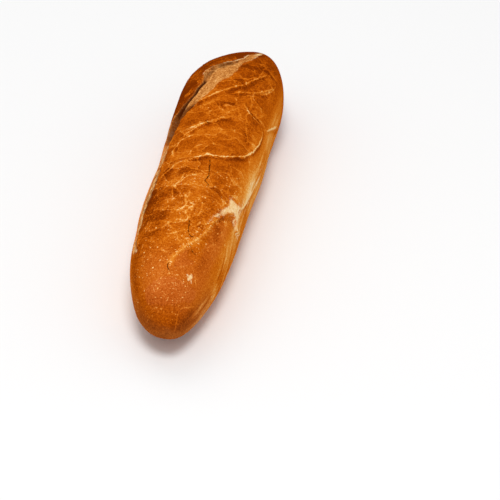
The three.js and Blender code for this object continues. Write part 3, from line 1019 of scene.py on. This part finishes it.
# Small blisters, golden flecks and mottling, and a fine crackle
blister = n.cells(place, BLISTER_SIZE)
blister_reach = n.times(blister.outputs["Distance"], 5.5)
speck = n.math("SUBTRACT", n.red_part(blister.outputs["Color"]), blister_reach, clamp=True)
tone = paler(tone, speck, n.plus(n.times(fleck_here, 0.4), 0.5))
flecks = n.above(pattern("flecks"), 0.58, 7.0)
tone = paler(tone, n.times(flecks, fleck_here), 0.50)
mottle = n.minus(n.above(pattern("mottle"), 0.47, 4.0), 0.3)
tone = paler(tone, n.times(mottle, n.attribute("mottled")), 0.26)
crackle = n.close_to(n.edge_distance(place, CRACKLE_SIZE), 14.0)
tone = paler(tone, n.times(crackle, bloom_here), 0.07)


def drawn_line(name, half_width, jitter):
    """A line from its signed distance in mm, with a shaky course."""
    shaky = n.plus(n.attribute(name + "_off"), n.spread(pattern("shake"), jitter))
    close = n.math("DIVIDE", n.math("ABSOLUTE", shaky), half_width)
    return n.times(n.math("SUBTRACT", 1.25, close, clamp=True), n.attribute(name + "_on"))


rim_line = n.times(drawn_line("rim", RIM_HALF_WIDTH, 1.0), n.above(pattern("rim gaps"), 0.15, 3.0))
tone = paler(tone, rim_line, 0.50)
crack_gaps = n.above(pattern("crack gaps"), 0.32, 5.0)
crack_width = n.plus(n.times(crack_gaps, 0.24), 0.16)
crack_depth = n.plus(n.times(crack_gaps, 0.7), 0.3)
crack_line = n.times(drawn_line("crack", crack_width, 0.9), crack_depth)

golden = n.ramp(tone, GOLDEN)
# A redder, duller tone with painted sheen: the blue is lifted as a soft reflection would lift it
reddish_sheen = n.mix(1.0, golden, REDDER_WITH_SHEEN, "MULTIPLY")
well_baked = n.above(tone, 0.30, 4.0)
colour = n.mix(n.times(n.attribute("red_and_sheen"), well_baked), golden, reddish_sheen)
cream_edge = n.plus(n.attribute("cream"), n.spread(pattern("cream edge"), 1.0))
colour = n.mix(n.above(cream_edge, 0.30, 1.9), colour, n.ramp(pattern("cream shade"), CREAM))
crumb_tone = n.plus(pattern("crumb"), n.times(n.attribute("fibre"), 0.18))
crumb_tone = n.plus(crumb_tone, n.spread(pattern("pores"), 0.75))
# Painted shade on the underside of the narrow end
colour = n.mix(n.attribute("underside_shade"), colour, n.ramp(tone, UNDERSIDE_SHADE))
colour = n.mix(crumb_here, colour, n.ramp(crumb_tone, CRUMB))
# Painted shade in the crevice, the pocket, the hollow and under torn edges
colour = n.mix(n.math("MULTIPLY", n.attribute("painted_shade"), 0.92, clamp=True), colour, SHADE)
colour = n.mix(n.math("MULTIPLY", crack_line, 0.95, clamp=True), colour, CRACK)

bump_height = n.plus(n.times(pattern("bumps"), 0.6), speck)
bump_height = n.minus(bump_height, n.times(crackle, 0.35))
bump_height = n.minus(bump_height, n.times(crack_line, 1.5))
bump = n.add("ShaderNodeBump")
bump.inputs["Strength"].default_value = BUMP_STRENGTH
bump.inputs["Distance"].default_value = BUMP_HEIGHT
n.put(bump_height, bump.inputs["Height"])

shader = n.add("ShaderNodeBsdfPrincipled")
n.put(colour, shader.inputs["Base Color"])
n.put(n.plus(n.times(crumb_here, 0.28), 0.56), shader.inputs["Roughness"])
shader.inputs["Specular IOR Level"].default_value = 0.0
n.put(bump.outputs[0], shader.inputs["Normal"])
n.put(shader.outputs[0], n.add("ShaderNodeOutputMaterial").inputs["Surface"])
mesh.materials.append(crust)

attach(loaf, "root")
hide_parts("loaf")


# ---------------------------------------------------------------- floor, light and camera
FLOOR_HALF = 6.0
FLOOR_COLOUR = (0.86, 0.86, 0.86, 1)
SKY_STRENGTH = 0.62
LIGHTS = (  # name, place, diameter, power
    ("key", (0.6, 0.15, 1.6), 0.7, 14),
    ("fill", (-0.9, -0.5, 1.3), 1.2, 4),
)
LIGHT_AIM = (0, 0, 0.02)
CAMERA_AZIMUTH = 100.54
CAMERA_ELEVATION = 36.0
CAMERA_DISTANCE = 1.8
CAMERA_AIM = (0.0210, 0.0306, 0.0)
LENS_MM = 236.2
SENSOR_MM = 36
FARTHEST_SEEN = 100

floor_material = bpy.data.materials.new("pale_floor")
nodes = Nodes(floor_material)
shade = nodes.add("ShaderNodeBsdfPrincipled")
shade.inputs["Base Color"].default_value = FLOOR_COLOUR
shade.inputs["Roughness"].default_value = 0.9
shade.inputs["Specular IOR Level"].default_value = 0.1
nodes.put(shade.outputs[0], nodes.add("ShaderNodeOutputMaterial").inputs["Surface"])

floor_mesh = bpy.data.meshes.new("floor")
corners = [(x * FLOOR_HALF, y * FLOOR_HALF, 0) for x, y in ((-1, -1), (1, -1), (1, 1), (-1, 1))]
floor_mesh.from_pydata(corners, [], [(0, 1, 2, 3)])
floor_mesh.materials.append(floor_material)
floor = bpy.data.objects.new("floor", floor_mesh)
bpy.context.scene.collection.objects.link(floor)

world = bpy.data.worlds.new("studio")
world.use_nodes = True
sky = world.node_tree.nodes["Background"]
sky.inputs["Color"].default_value = (1, 1, 1, 1)
sky.inputs["Strength"].default_value = SKY_STRENGTH
bpy.context.scene.world = world


def look_along(item, direction):
    item.rotation_mode = "QUATERNION"
    item.rotation_quaternion = direction.to_track_quat("-Z", "Y")


for name, position, size, power in LIGHTS:
    data = bpy.data.lights.new(name, "AREA")
    data.shape = "DISK"
    data.size = size
    data.energy = power
    lamp = bpy.data.objects.new(name, data)
    lamp.location = position
    look_along(lamp, Vector(LIGHT_AIM) - Vector(position))
    bpy.context.scene.collection.objects.link(lamp)

azimuth = math.radians(CAMERA_AZIMUTH)
elevation = math.radians(CAMERA_ELEVATION)
back = Vector(
    (
        math.sin(azimuth) * math.cos(elevation),
        -math.cos(azimuth) * math.cos(elevation),
        math.sin(elevation),
    )
)
camera_data = bpy.data.cameras.new("camera")
camera_data.lens = LENS_MM
camera_data.sensor_width = SENSOR_MM
camera_data.clip_end = FARTHEST_SEEN
camera = bpy.data.objects.new("camera", camera_data)
camera.location = Vector(CAMERA_AIM) + back * CAMERA_DISTANCE
look_along(camera, -back)
bpy.context.scene.collection.objects.link(camera)
bpy.context.scene.camera = camera
bpy.context.scene.view_settings.view_transform = "Standard"
